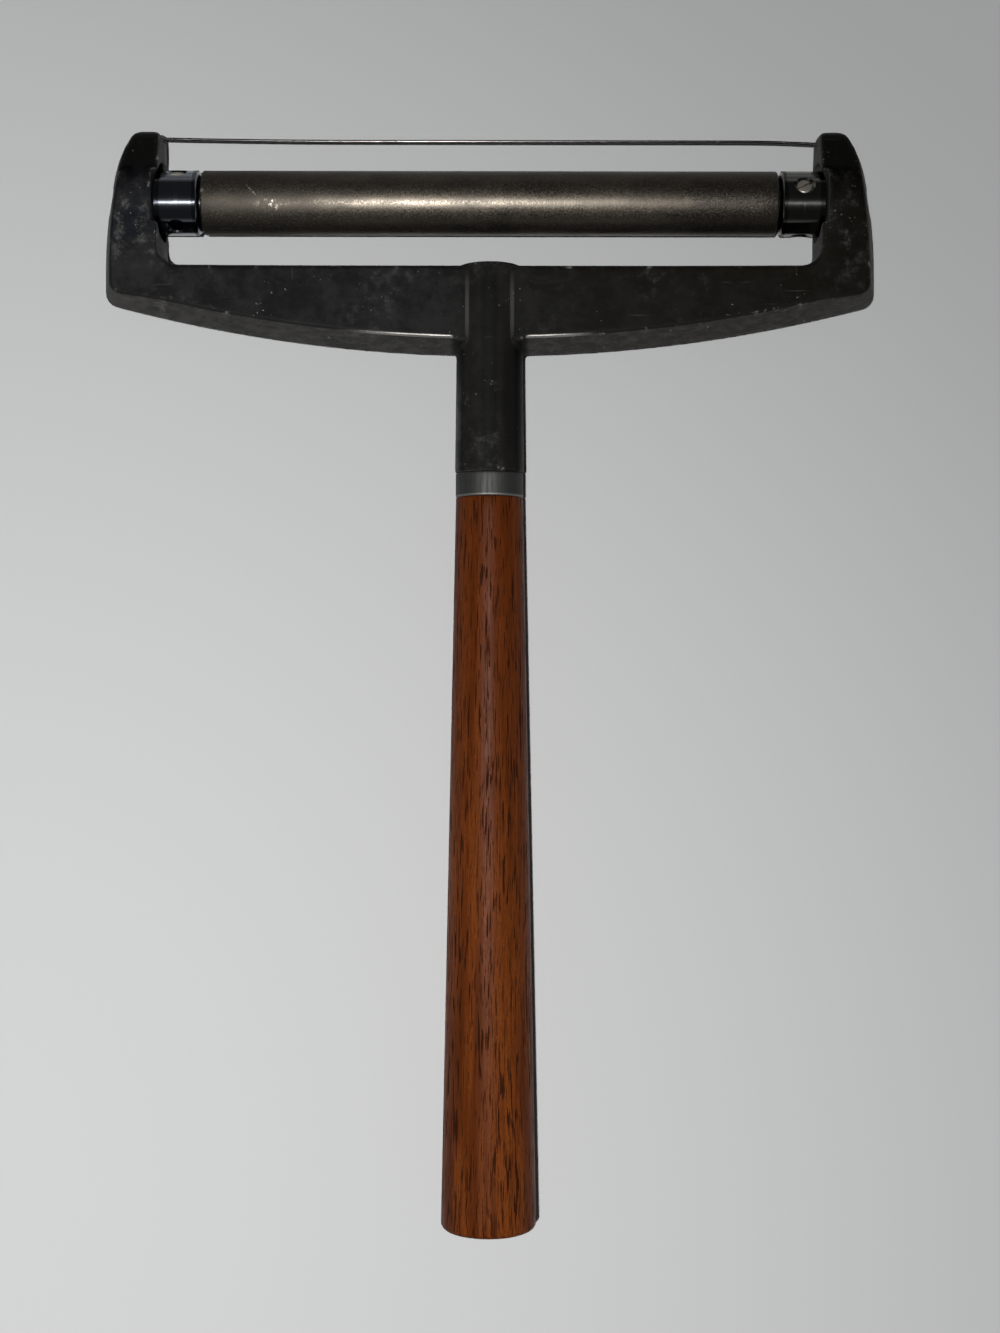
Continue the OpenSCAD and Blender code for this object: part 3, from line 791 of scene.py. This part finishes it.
def wood_finish(settings):
    """Oiled red-brown wood: long streaks, open pores along the grain and a satin surface."""
    f = Finish("oiled_wood")
    drift = f.add("ShaderNodeTexNoise")
    f.put(drift.inputs["Vector"], f.mapped((1, 0.25, 1)))
    f.put(drift.inputs["Scale"], 1 / 0.012)
    f.put(drift.inputs["Detail"], 2.0)
    sway = f.add("ShaderNodeVectorMath", operation="MULTIPLY_ADD")
    f.put(sway.inputs[0], drift.outputs["Color"])
    f.put(sway.inputs[1], (0.0022, 0.0, 0.0022))
    f.put(sway.inputs[2], f.where)
    swayed = sway.outputs["Vector"]
    streaks = f.step(f.noise(0.0016, 4, 0.65, f.mapped((1, 0.030, 1), where=swayed)), 0.36, 0.64)
    bands = f.step(f.noise(0.0042, 2, 0.5, f.mapped((1, 0.05, 1), move=(2, 3, 1), where=swayed)), 0.40, 0.62)
    fibres = f.noise(0.00045, 3, 0.65, f.mapped((1, 0.035, 1), where=swayed))
    large = f.noise(0.00044, 1.5, 0.5, f.mapped((1, 0.050, 1), move=(1, 2, 3), where=swayed))
    small = f.noise(0.00030, 1.5, 0.5, f.mapped((1, 0.055, 1), move=(4, 1, 2), where=swayed))
    closed = f.step(f.noise(0.006, 2, 0.5, f.mapped((1, 0.2, 1))), 0.34, 0.62, 0.030, -0.015)
    large = f.step(f.calc("SUBTRACT", large, closed), 0.600, 0.640)
    small = f.step(f.calc("SUBTRACT", small, closed), 0.605, 0.650)
    pores = f.most(large, f.times(small, 0.75))
    wood = f.mix(streaks, settings.dark_wood, settings.light_wood)
    bands = f.times(bands, f.step(f.along("Y"), -0.09, 0.04, 0.90, 0.22))
    wood = f.mix(bands, wood, settings.amber_wood)
    wood = f.mix(f.step(fibres, 0.40, 0.66, 0.0, 0.62), wood, settings.dark_wood)
    wood = f.mix(f.step(f.along("Y"), -0.03, 0.05, 0.0, 0.38), wood, settings.red_wood)
    height = f.calc("SUBTRACT", f.times(fibres, 0.25), pores)
    grain = f.noise(0.00030, 3, 0.7, f.mapped((1, 0.35, 1)))
    wood = f.mix(f.step(grain, 0.38, 0.66, 0.0, 0.45), wood, settings.dark_wood)
    f.surface(
        Base_Color=f.mix(f.times(pores, 0.9), wood, settings.pore),
        Roughness=f.blend(pores, f.step(fibres, 0.3, 0.7, 0.34, 0.46), 0.8),
        Specular_IOR_Level=0.056,
        Normal=f.bump(height, 0.00005, f.bump(grain, 0.000030)),
    )
    return f.material


# Pieces


class SLICER_OT_casting(bpy.types.Operator):
    """Model the cast bow frame with softened edges, and cut its wire slits clean"""

    bl_idname = "slicer.casting"
    bl_label = "Casting"

    def execute(self, context):
        settings = context.scene.slicer.casting
        drop = context.scene.slicer.wire.right_drop
        casting = bpy.data.objects.new("casting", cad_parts["bow_frame"].data.copy())
        context.scene.collection.objects.link(casting)
        edit(casting)
        bpy.ops.mesh.customdata_custom_splitnormals_clear()
        bpy.ops.mesh.select_all(action="SELECT")
        bpy.ops.mesh.remove_doubles(threshold=MERGE)
        done()
        apply_modifier(casting, "REMESH", mode="VOXEL", voxel_size=settings.detail, use_smooth_shade=True)
        apply_modifier(casting, "SMOOTH", factor=0.5, iterations=settings.softening)
        self.mark_edges(casting)
        for side, node, deeper in ((-1, "left_wire_nipple", 0), (1, "right_wire_nipple", drop)):
            self.cut_seat(casting, settings, side, node, deeper)
        smooth(casting, 40)
        fit(casting, "frame", ["bow_frame"], casting_finish(settings))
        return {"FINISHED"}

    def mark_edges(self, casting):
        """Paints how exposed each corner of the mesh is, for the wear on the edges and the painted
        highlights in the creases.
        """
        only(casting)
        bpy.ops.geometry.color_attribute_add(
            name="wear", domain="POINT", data_type="FLOAT_COLOR", color=(1, 1, 1, 1)
        )
        bpy.ops.object.mode_set(mode="VERTEX_PAINT")
        bpy.ops.paint.vertex_color_dirt(
            blur_strength=1.0, blur_iterations=1, clean_angle=math.pi, dirt_angle=0.0
        )
        done()

    def cut_seat(self, casting, settings, side, node, deeper):
        """Cuts one arm's wire slit and nipple pocket."""
        low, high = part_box(node)
        wire = (low + high) / 2
        past = 0.004
        start = min(abs(low.x), abs(high.x))
        bottom = wire.y - settings.slit / 2 - deeper
        deselect()
        bpy.ops.mesh.primitive_cube_add(size=1, location=(side * (start + past), bottom + past / 2, wire.z))
        bpy.ops.transform.resize(value=(4 * past, past, settings.slit))
        cut_away(casting, named("slit_cutter"))
        line = (Vector((0, wire.y, wire.z)), Vector((side, 0, 0)))
        pocket = add_rod("pocket_cutter", line, start - 2 * FIT, start + 3 * past, settings.pocket, 40)
        cut_away(casting, pocket)


class SLICER_OT_roller(bpy.types.Operator):
    """Model the roller tube, and finish its bushes"""

    bl_idname = "slicer.roller"
    bl_label = "Roller"

    def execute(self, context):
        settings = context.scene.slicer.roller
        low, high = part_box("roller_tube")
        radius = radius_of("roller_tube", 2)
        tube = add_rod("roller", AXLE_LINE, low.x, high.x, radius)
        edit(tube)
        bore_through(tube, settings.wall)
        cut_along(tube, AXLE_LINE, radius, 30)
        for end in (low.x, high.x):
            round_rim(tube, AXLE_LINE, end, radius, settings.edge, 6)
        done()
        smooth(tube, 40)
        fit(tube, "roller", ["roller_tube"], roller_finish(settings))
        nylon = bush_finish(settings)
        dress("left_roller_bush", nylon)
        dress("right_roller_bush", nylon)
        return {"FINISHED"}


class SLICER_OT_axle(bpy.types.Operator):
    """Model the drawn axle, chamfered and with turning centres in its ends"""

    bl_idname = "slicer.axle"
    bl_label = "Axle"

    def execute(self, context):
        settings = context.scene.slicer.axle
        radius = radius_of("axle", 2)
        rod = add_rod("axle_rod", AXLE_LINE, AXLE_LOW.x, AXLE_HIGH.x, radius, 64)
        edit(rod)
        for end in (AXLE_LOW.x, AXLE_HIGH.x):
            self.centre_mark(rod, end, radius, settings.centre)
            round_rim(rod, AXLE_LINE, end, radius, settings.chamfer, 1)
        done()
        smooth(rod, 35)
        finish = turned_finish("drawn_steel", settings.steel, settings.dull, 0.30, 0)
        fit(rod, "frame", ["axle"], finish)
        return {"FINISHED"}

    def centre_mark(self, rod, end, radius, size):
        """Sinks a turning centre into one end."""
        inward = Vector((-math.copysign(size, end), 0, 0))
        centre = Vector((end, AXLE_MID.y, AXLE_MID.z))
        pick(rod, "FACE", lambda face: end_face(face) and (face.calc_center_median() - centre).length < NEAR)
        bpy.ops.mesh.inset(thickness=radius - size)
        bpy.ops.mesh.extrude_region_move(TRANSFORM_OT_translate={"value": inward})
        bpy.ops.transform.resize(value=(1, 0.1, 0.1), center_override=centre + inward)


class SLICER_OT_nuts(bpy.types.Operator):
    """Model a chromed tension nut with its radial holes, and copy it to both arms"""

    bl_idname = "slicer.nuts"
    bl_label = "Tension Nuts"

    def execute(self, context):
        settings = context.scene.slicer.nuts
        low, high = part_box("right_tension_nut")
        radius = radius_of("right_tension_nut", 2)
        half = (high.x - low.x) / 2
        nut = add_rod("nut", ALONG_X, -half, half, radius)
        edit(nut)
        bore_through(nut, radius - radius_of("axle", 2) - FIT)
        cut_along(nut, ALONG_X, radius, 15)
        round_rim(nut, ALONG_X, -half, radius, settings.inner_edge, 8)
        round_rim(nut, ALONG_X, half, radius, settings.outer_edge, 8)
        done()
        drill = self.drill(radius, settings)
        for i in range(3):
            cut_away(nut, copy_of(drill, "drill_copy", (0, 0, 0), (i * math.tau / 3, 0, 0)))
        remove(drill)
        smooth(nut, 25)
        chrome = chrome_finish(settings)
        turns = {"left": (settings.left_turn, 0, math.pi), "right": (-settings.right_turn, 0, 0)}
        for side, turn in turns.items():
            node = side + "_tension_nut"
            copy = copy_of(nut, side + "_chrome_nut", middle_of(node), turn)
            fit(copy, side + "_nut", [node], chrome)
        remove(nut)
        return {"FINISHED"}

    def drill(self, radius, settings):
        """Cutter for one radial hole with its countersink."""
        sink = settings.sink - settings.hole
        past = 0.001
        drill = add_rod("drill", ALONG_Z, past, radius - sink, settings.hole, 48)
        edit(drill)
        pick(drill, "FACE", lambda face: end_face(face) and face.normal.z > 0.5)
        grow = (settings.sink + past) / settings.hole
        bpy.ops.mesh.extrude_region_move(TRANSFORM_OT_translate={"value": (0, 0, sink + past)})
        bpy.ops.transform.resize(value=(grow, grow, 1), center_override=(0, 0, radius + past))
        done()
        return drill


class SLICER_OT_screws(bpy.types.Operator):
    """Model a slotted lock screw, and copy it to both nuts"""

    bl_idname = "slicer.screws"
    bl_label = "Lock Screws"

    def execute(self, context):
        settings = context.scene.slicer.screws
        nuts = context.scene.slicer.nuts
        foot = radius_of("axle", 2) + 2 * FIT
        head = radius_of("right_tension_nut", 2) - settings.recess
        radius = radius_of("right_lock_screw", 0)
        screw = add_rod("screw", ALONG_Z, foot, head, radius, 64)
        edit(screw)
        round_rim(screw, ALONG_Z, foot, radius, settings.edge, 2)
        round_rim(screw, ALONG_Z, head, radius, settings.edge, 4)
        done()
        deselect()
        bpy.ops.mesh.primitive_cube_add(size=1, location=(0, 0, head), rotation=(0, 0, settings.slot_turn))
        bpy.context.active_object.scale = (4 * radius, settings.slot, 2 * settings.slot_depth)
        cut_away(screw, named("slot_cutter"))
        sharp = math.radians(50)
        apply_modifier(
            screw, "BEVEL", width=settings.burr, segments=2, limit_method="ANGLE", angle_limit=sharp
        )
        smooth(screw, 30)
        steel = turned_finish("screw_steel", settings.steel, settings.dull, 0.50, 0)
        for side, turn in (("left", nuts.left_turn), ("right", nuts.right_turn)):
            place = middle_of(side + "_tension_nut")
            copy = copy_of(screw, side + "_slotted_screw", place, (-turn, 0, 0))
            fit(copy, side + "_screw", [side + "_lock_screw"], steel)
        remove(screw)
        return {"FINISHED"}


class SLICER_OT_wire(bpy.types.Operator):
    """Model the taut cutting wire, worn a little out of line at its ends"""

    bl_idname = "slicer.wire"
    bl_label = "Cutting Wire"

    def execute(self, context):
        settings = context.scene.slicer.wire
        low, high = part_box("cutting_wire")
        middle = (low + high) / 2
        line = (Vector((0, middle.y, middle.z)), Vector((1, 0, 0)))
        radius = (high.z - low.z) / 2
        wire = add_rod("wire", line, low.x, high.x, radius, 20)
        edit(wire)
        cut_along(wire, line, radius, 200)
        self.bend(wire, low.x, settings.left_reach, settings.left_lift)
        self.bend(wire, settings.right_place, settings.right_reach, -settings.right_drop)
        done()
        smooth(wire, 40)
        finish = turned_finish("drawn_wire", settings.steel, settings.dull, 0.22, 0)
        fit(wire, "frame", ["cutting_wire"], finish)
        return {"FINISHED"}

    def bend(self, wire, place, reach, lift):
        """Moves the wire at one place, and less and less beside it."""
        ring_gap = 0.0006
        pick(wire, "VERT", lambda v: abs(v.co.x - place) < ring_gap)
        bpy.ops.transform.translate(
            value=(0, lift, 0),
            use_proportional_edit=True,
            proportional_edit_falloff="SHARP",
            proportional_size=reach,
        )


class SLICER_OT_nipples(bpy.types.Operator):
    """Model a crimped nipple, and copy it to both ends of the wire"""

    bl_idname = "slicer.nipples"
    bl_label = "Wire Nipples"

    def execute(self, context):
        settings = context.scene.slicer.nipples
        low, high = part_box("right_wire_nipple")
        radius = (high.z - low.z) / 2
        half = (high.x - low.x) / 2
        nipple = add_rod("nipple", ALONG_X, -half, half, radius, 40)
        edit(nipple)
        cut_along(nipple, ALONG_X, radius, 7)
        pressed = 0.54 * half
        pick(nipple, "VERT", lambda v: abs(v.co.x) < pressed)
        bpy.ops.transform.resize(value=(1, 1, settings.crimp), center_override=(0, 0, 0))
        for end in (-half, half):
            round_rim(nipple, ALONG_X, end, radius, settings.edge, 3)
        done()
        smooth(nipple, 40)
        brass = turned_finish("crimped_brass", settings.brass, settings.dull, 0.34, 0)
        for side in ("left", "right"):
            node = side + "_wire_nipple"
            copy = copy_of(nipple, side + "_nipple", middle_of(node), (0, 0, 0))
            fit(copy, "frame", [node], brass)
        remove(nipple)
        return {"FINISHED"}


class SLICER_OT_ferrule(bpy.types.Operator):
    """Model the turned ring between the neck and the wood"""

    bl_idname = "slicer.ferrule"
    bl_label = "Ferrule"

    def execute(self, context):
        settings = context.scene.slicer.ferrule
        low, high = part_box("ferrule")
        radius = radius_of("ferrule", 0)
        ring = add_rod("ferrule_ring", STEM_LINE, low.y, high.y, radius)
        edit(ring)
        bore_through(ring, settings.wall)
        cut_along(ring, STEM_LINE, radius, 6)
        for end in (low.y, high.y):
            round_rim(ring, STEM_LINE, end, radius, settings.edge, 3)
        done()
        smooth(ring, 40)
        fit(ring, "frame", ["ferrule"], ferrule_finish(settings))
        return {"FINISHED"}


class SLICER_OT_handle(bpy.types.Operator):
    """Model the turned wooden handle with its spigot, and finish the tang"""

    bl_idname = "slicer.handle"
    bl_label = "Handle"

    def execute(self, context):
        settings = context.scene.slicer.handle
        low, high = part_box("handle")
        wood_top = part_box("ferrule")[0].y
        end_radius = radius_of("handle", 0)
        top_radius = radius_of("ferrule", 0) - FIT
        spigot = radius_of("ferrule", 0) - context.scene.slicer.ferrule.wall
        deselect()
        bpy.ops.mesh.primitive_cone_add(
            vertices=SIDES,
            radius1=end_radius,
            radius2=top_radius,
            depth=wood_top - low.y,
            location=(0, (wood_top + low.y) / 2, AXLE_MID.z),
            rotation=TURN_ALONG[1],
        )
        wood = named("wooden_handle")
        edit(wood)
        pick(wood, "FACE", lambda face: end_face(face) and face.normal.y > 0.5)
        bpy.ops.mesh.inset(thickness=top_radius - spigot)
        bpy.ops.mesh.extrude_region_move(TRANSFORM_OT_translate={"value": (0, high.y - wood_top, 0)})
        round_rim(wood, STEM_LINE, wood_top, top_radius, settings.top_edge, 4)
        round_rim(wood, STEM_LINE, low.y, end_radius, settings.end_edge, 8)
        half_length = (wood_top - low.y) / 2
        pick(wood, "EDGE", lambda edge: abs(edge.verts[0].co.y - edge.verts[1].co.y) > half_length)
        bpy.ops.mesh.subdivide(number_cuts=50)
        done()
        smooth(wood, 40)
        fit(wood, "frame", ["handle"], wood_finish(settings))
        dress("handle_tang", turned_finish("tang_steel", settings.tang, settings.dull_tang, 0.36, 1))
        return {"FINISHED"}


class SLICER_OT_stage(bpy.types.Operator):
    """Lay the floor, set the light and place the camera over the slicer"""

    bl_idname = "slicer.stage"
    bl_label = "Stage"

    def execute(self, context):
        settings = context.scene.slicer.stage
        context.scene.view_settings.view_transform = "Standard"
        self.floor(settings)
        self.world(context, settings)
        self.lamp(settings)
        self.camera(context, settings)
        return {"FINISHED"}

    def floor(self, settings):
        """Plain floor, tipped so that the handle's end and the nuts both rest on it."""
        nut_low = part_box("left_tension_nut")[0].z
        handle_low = CAD_BOX[0]
        rise = (nut_low - handle_low.z) / (AXLE_MID.y - handle_low.y)
        deselect()
        place = (0, 0, handle_low.z - rise * handle_low.y - FIT)
        bpy.ops.mesh.primitive_plane_add(size=8, location=place, rotation=(math.atan(rise), 0, 0))
        floor = bpy.context.active_object
        floor.name = "floor"
        f = Finish("pale_floor")
        reach = f.add("ShaderNodeVectorMath", operation="LENGTH")
        f.put(reach.inputs[0], f.where)
        seen = f.add("ShaderNodeLightPath").outputs["Is Camera Ray"]
        near = f.step(reach.outputs["Value"], 0.17, 0.50, 0.0, 0.60)
        far = f.step(reach.outputs["Value"], 0.50, 1.60, 0.0, 0.30)
        unlit = f.step(f.calc("ADD", f.along("X"), f.along("Y")), 0.15, 0.50, 0.0, 0.40)
        f.surface(
            Base_Color=settings.floor,
            Roughness=0.6,
            Specular_IOR_Level=0.25,
            Emission_Color=settings.floor,
            Emission_Strength=f.times(seen, f.calc("ADD", near, f.calc("ADD", far, unlit))),
        )
        floor.data.materials.append(f.material)

    def world(self, context, settings):
        """Room light: pale near the horizon and dim overhead."""
        world = bpy.data.worlds.new("room")
        context.scene.world = world
        world.use_nodes = True
        tree = world.node_tree
        where = tree.nodes.new("ShaderNodeTexCoord")
        split = tree.nodes.new("ShaderNodeSeparateXYZ")
        ramp = tree.nodes.new("ShaderNodeValToRGB")
        tree.links.new(where.outputs["Generated"], split.inputs[0])
        tree.links.new(split.outputs["Z"], ramp.inputs[0])
        tree.links.new(ramp.outputs["Color"], tree.nodes["Background"].inputs["Color"])
        ramp.color_ramp.elements[0].position = 0.08
        ramp.color_ramp.elements[0].color = (*settings.horizon, 1)
        ramp.color_ramp.elements[1].position = 0.36
        ramp.color_ramp.elements[1].color = (*settings.overhead, 1)

    def lamp(self, settings):
        """Round lamp beside the camera's line, aimed low and left, so the floor fades to the far right."""
        aim = Vector(settings.key_target) - Vector(settings.key_place)
        turn = aim.to_track_quat("-Z", "Y").to_euler()
        deselect()
        bpy.ops.object.light_add(type="AREA", location=settings.key_place, rotation=turn)
        lamp = bpy.context.active_object
        lamp.name = "key_lamp"
        lamp.data.shape = "DISK"
        lamp.data.size = settings.key_size
        lamp.data.spread = settings.key_spread
        lamp.data.energy = settings.key
        lamp.visible_camera = False

    def camera(self, context, settings):
        """Camera straight over the slicer."""
        deselect()
        place = Vector(settings.camera_place) + Vector((0, 0, AXLE_MID.z))
        bpy.ops.object.camera_add(location=place, rotation=(0, 0, settings.camera_roll))
        camera = bpy.context.active_object
        camera.data.sensor_width = 36
        camera.data.lens = settings.lens
        camera.data.clip_start = 0.01
        context.scene.camera = camera


class SLICER_PT_pieces(bpy.types.Panel):
    """Lists the slicer's pieces and its stage"""

    bl_idname = "SLICER_PT_pieces"
    bl_label = "Roller Cheese Slicer"
    bl_space_type = "VIEW_3D"
    bl_region_type = "UI"
    bl_category = "Slicer"

    def draw(self, context):
        for operator in OPERATORS:
            self.layout.operator(operator.bl_idname)


OPERATORS = (
    SLICER_OT_casting,
    SLICER_OT_roller,
    SLICER_OT_axle,
    SLICER_OT_nuts,
    SLICER_OT_screws,
    SLICER_OT_wire,
    SLICER_OT_nipples,
    SLICER_OT_ferrule,
    SLICER_OT_handle,
    SLICER_OT_stage,
)
CLASSES = (
    CastingSettings,
    RollerSettings,
    AxleSettings,
    NutSettings,
    ScrewSettings,
    WireSettings,
    NippleSettings,
    FerruleSettings,
    HandleSettings,
    StageSettings,
    SlicerSettings,
    *OPERATORS,
    SLICER_PT_pieces,
)


def register():
    for each in CLASSES:
        bpy.utils.register_class(each)
    bpy.types.Scene.slicer = PointerProperty(type=SlicerSettings)


def unregister():
    del bpy.types.Scene.slicer
    for each in reversed(CLASSES):
        bpy.utils.unregister_class(each)


def main():
    register()
    bpy.ops.slicer.stage()
    bpy.ops.slicer.casting()
    bpy.ops.slicer.roller()
    bpy.ops.slicer.axle()
    bpy.ops.slicer.nuts()
    bpy.ops.slicer.screws()
    bpy.ops.slicer.wire()
    bpy.ops.slicer.nipples()
    bpy.ops.slicer.ferrule()
    bpy.ops.slicer.handle()


if __name__ == "__main__":
    main()
